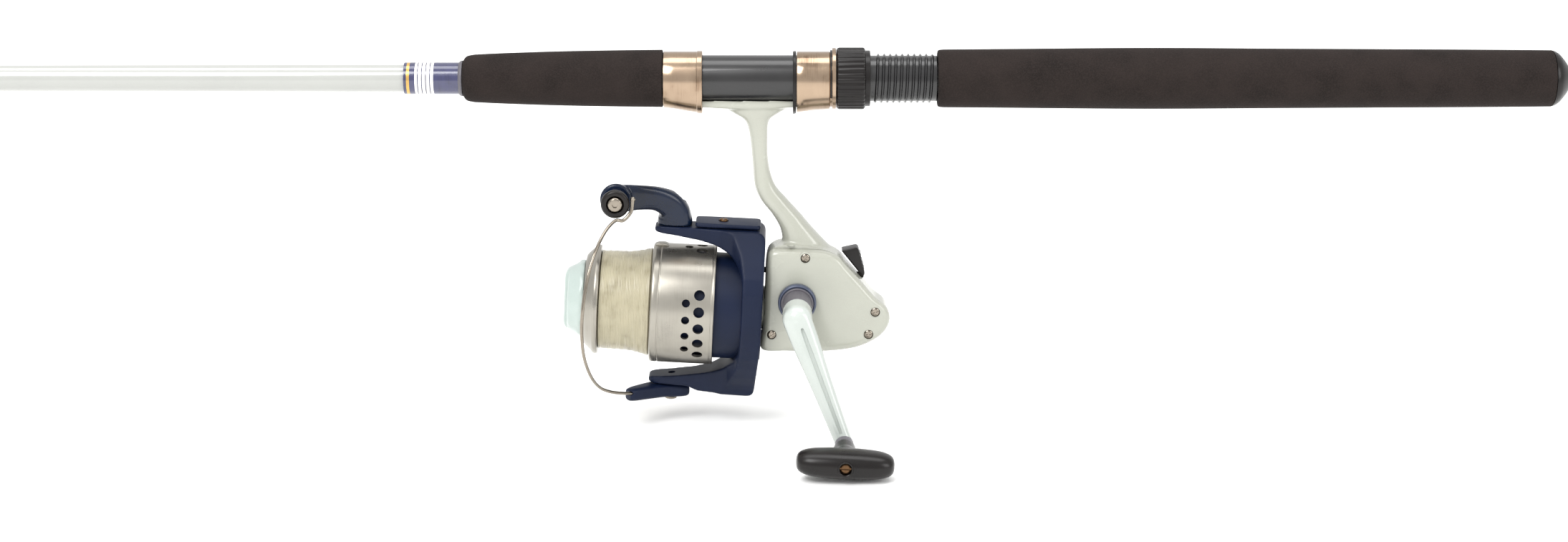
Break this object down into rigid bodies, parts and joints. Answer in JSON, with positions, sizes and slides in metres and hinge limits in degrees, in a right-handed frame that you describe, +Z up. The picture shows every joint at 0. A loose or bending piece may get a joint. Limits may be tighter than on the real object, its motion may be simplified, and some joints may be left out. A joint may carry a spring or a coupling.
{
  "type": "fishing rod and reel",
  "caption": "Spinning rod with foam grips, screw reel seat and ring guides, holding a fixed-spool reel with a flip-over bail, side crank and front drag knob.",
  "frame": {"origin": "centre of the flat end of the butt cap, on the rod's axis", "axes": "+X out of the butt along the rod, so the tip points to -X; +Z up, with the reel hanging to -Z; the crank handle is on the -Y side"},
  "size_m": [2.1338, 0.1403, 0.2002],
  "materials": {
    "black_foam": "matte closed-cell foam",
    "black_plastic": "satin moulded",
    "white_gloss": "clear-coated gloss",
    "pearl_paint": "pearl white paint",
    "navy_paint": "gloss metallic navy",
    "steel": "brushed",
    "chrome": "polished",
    "spool_silver": "satin anodised",
    "brass": "satin",
    "slate": "satin grey blue",
    "line": "clear monofilament",
    "ceramic": "polished"
  },
  "bodies": {
    "rod": {"butt_cap": "black_plastic", "rear_grip": "black_foam", "butt_blank": "white_gloss", "reel_seat": "black_plastic", "front_hood": "steel", "fore_grip": "black_foam", "guide_1_frame": "steel", "guide_1_ring": "ceramic", "reel_body": "pearl_paint", "side_cover": "pearl_paint", "cover_screw_1": "chrome", "cover_screw_2": "chrome", "cover_screw_3": "chrome", "cover_screw_4": "chrome", "handle_collar": "slate", "drive_bearing_near": "steel", "drive_bearing_far": "steel", "pinion_bearing": "steel"},
    "tip_section": {"tip_blank": "white_gloss", "guide_2_frame": "steel", "guide_2_ring": "ceramic", "guide_3_frame": "steel", "guide_3_ring": "ceramic", "guide_4_frame": "steel", "guide_4_ring": "ceramic", "tip_top_frame": "steel", "tip_top_ring": "ceramic"},
    "hood": {"sliding_hood": "steel", "hood_liner": "black_plastic"},
    "lock_nut": {"lock_nut": "black_plastic"},
    "crank": {"handle_arm": "pearl_paint", "handle_cap": "pearl_paint", "drive_gear": "brass", "knob_screw": "brass"},
    "handle_knob": {"handle_knob": "black_plastic"},
    "oscillation_gear": {"oscillation_gear": "black_plastic"},
    "rotor": {"rotor": "navy_paint", "arm_cover": "navy_paint", "arm_cover_screw": "chrome", "rotor_nut": "brass", "pinion": "brass", "ratchet": "steel", "bail_spring": "steel", "bail_pivot_screw": "chrome", "lever_pivot_screw": "chrome"},
    "bail": {"bail_arm": "navy_paint", "roller_screw": "chrome", "roller_cap": "black_plastic", "bail_wire": "chrome", "bail_lever": "navy_paint"},
    "line_roller": {"line_roller": "chrome"},
    "spindle": {"main_shaft": "steel", "oscillation_slider": "black_plastic"},
    "spool": {"spool": "spool_silver", "line_winding": "line", "drag_washers": "slate"},
    "drag_knob": {"drag_knob": "pearl_paint"},
    "anti_reverse": {"anti_reverse_lever": "black_plastic", "anti_reverse_pawl": "steel"}
  },
  "joints": [
    {"name": "tip_pull", "type": "slide", "parent": "rod", "child": "tip_section", "axis": [-1, 0, 0], "range_m": [0, 0.07]},
    {"name": "hood_slide", "type": "slide", "parent": "rod", "child": "hood", "axis": [1, 0, 0], "range_m": [0, 0.0217]},
    {"name": "nut_turn", "type": "hinge", "parent": "hood", "child": "lock_nut", "pos_m": [-0.37, 0, 0], "axis": [1, 0, 0], "range_deg": [0, 2640]},
    {"name": "handle_crank", "type": "hinge", "parent": "rod", "child": "crank", "pos_m": [-0.39775, 0, -0.11526], "axis": [0, 1, 0], "continuous": true},
    {"name": "knob_spin", "type": "hinge", "parent": "crank", "child": "handle_knob", "pos_m": [-0.37391, -0.0986, -0.17639], "axis": [0, 1, 0], "continuous": true},
    {"name": "oscillation_turn", "type": "hinge", "parent": "rod", "child": "oscillation_gear", "pos_m": [-0.38355, 0, -0.12341], "axis": [0, 1, 0], "continuous": true},
    {"name": "rotor_spin", "type": "hinge", "parent": "rod", "child": "rotor", "pos_m": [-0.4621, 0, -0.1203], "axis": [0.9986, 0, -0.0523], "continuous": true},
    {"name": "bail_flip", "type": "hinge", "parent": "rotor", "child": "bail", "pos_m": [-0.4621, 0, -0.1203], "axis": [-0.0523, 0, -0.9986], "range_deg": [0, 80]},
    {"name": "roller_spin", "type": "hinge", "parent": "bail", "child": "line_roller", "pos_m": [-0.4913, -0.0215, -0.06039], "axis": [0, 1, 0], "continuous": true},
    {"name": "spool_stroke", "type": "slide", "parent": "rod", "child": "spindle", "axis": [-0.9986, 0, 0.0523], "range_m": [-0.003, 0.014]},
    {"name": "spool_slip", "type": "hinge", "parent": "spindle", "child": "spool", "pos_m": [-0.4621, 0, -0.1203], "axis": [0.9986, 0, -0.0523], "continuous": true},
    {"name": "drag_turn", "type": "hinge", "parent": "spindle", "child": "drag_knob", "pos_m": [-0.51203, 0, -0.11768], "axis": [0.9986, 0, -0.0523], "range_deg": [-360, 1440]},
    {"name": "anti_reverse_switch", "type": "hinge", "parent": "rod", "child": "anti_reverse", "pos_m": [-0.37115, 0, -0.10454], "axis": [0.9986, 0, -0.0523], "range_deg": [0, 18]}
  ],
  "couplings": [
    {"joint": "rotor_spin", "follows": "handle_crank", "ratio": 5},
    {"joint": "oscillation_turn", "follows": "handle_crank", "ratio": -0.5},
    {"joint": "nut_turn", "follows": "hood_slide", "rad_per_m": 2026.8}
  ]
}
